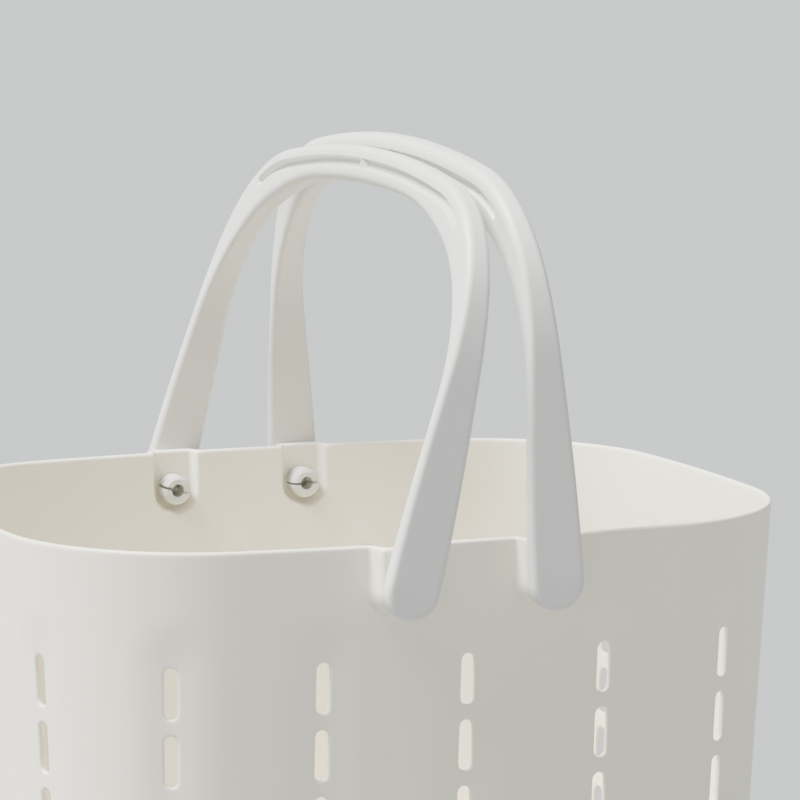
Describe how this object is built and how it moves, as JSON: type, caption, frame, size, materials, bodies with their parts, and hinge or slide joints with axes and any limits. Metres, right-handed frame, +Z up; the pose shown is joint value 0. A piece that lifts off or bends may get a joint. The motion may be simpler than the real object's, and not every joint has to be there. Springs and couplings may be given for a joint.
{
  "type": "shower caddy",
  "caption": "Moulded plastic shower caddy: an open tub with slotted, slightly flared walls, a drained base and a pair of swinging carry handles on snap studs.",
  "frame": {"origin": "centre of the ring that the tub stands on, at the surface below it", "axes": "+Z up, +X along the tub's long side, -Y towards its front wall; the handles stand on +/-Y and swing about Y"},
  "size_m": [0.2832, 0.2452, 0.3159],
  "materials": {
    "tub_plastic": "satin warm white polypropylene",
    "handle_plastic": "satin white polypropylene"
  },
  "bodies": {
    "tub": {"basket_shell": "tub_plastic"},
    "left_handle": {"left_handle": "handle_plastic", "left_front_snap_stud": "handle_plastic", "left_rear_snap_stud": "handle_plastic"},
    "right_handle": {"right_handle": "handle_plastic", "right_front_snap_stud": "handle_plastic", "right_rear_snap_stud": "handle_plastic"}
  },
  "joints": [
    {"name": "left_handle_swing", "type": "hinge", "parent": "tub", "child": "left_handle", "pos_m": [-0.026, 0, 0.1757], "axis": [0, -1, 0], "range_deg": [0, 131]},
    {"name": "right_handle_swing", "type": "hinge", "parent": "tub", "child": "right_handle", "pos_m": [0.026, 0, 0.1757], "axis": [0, 1, 0], "range_deg": [0, 119]}
  ]
}
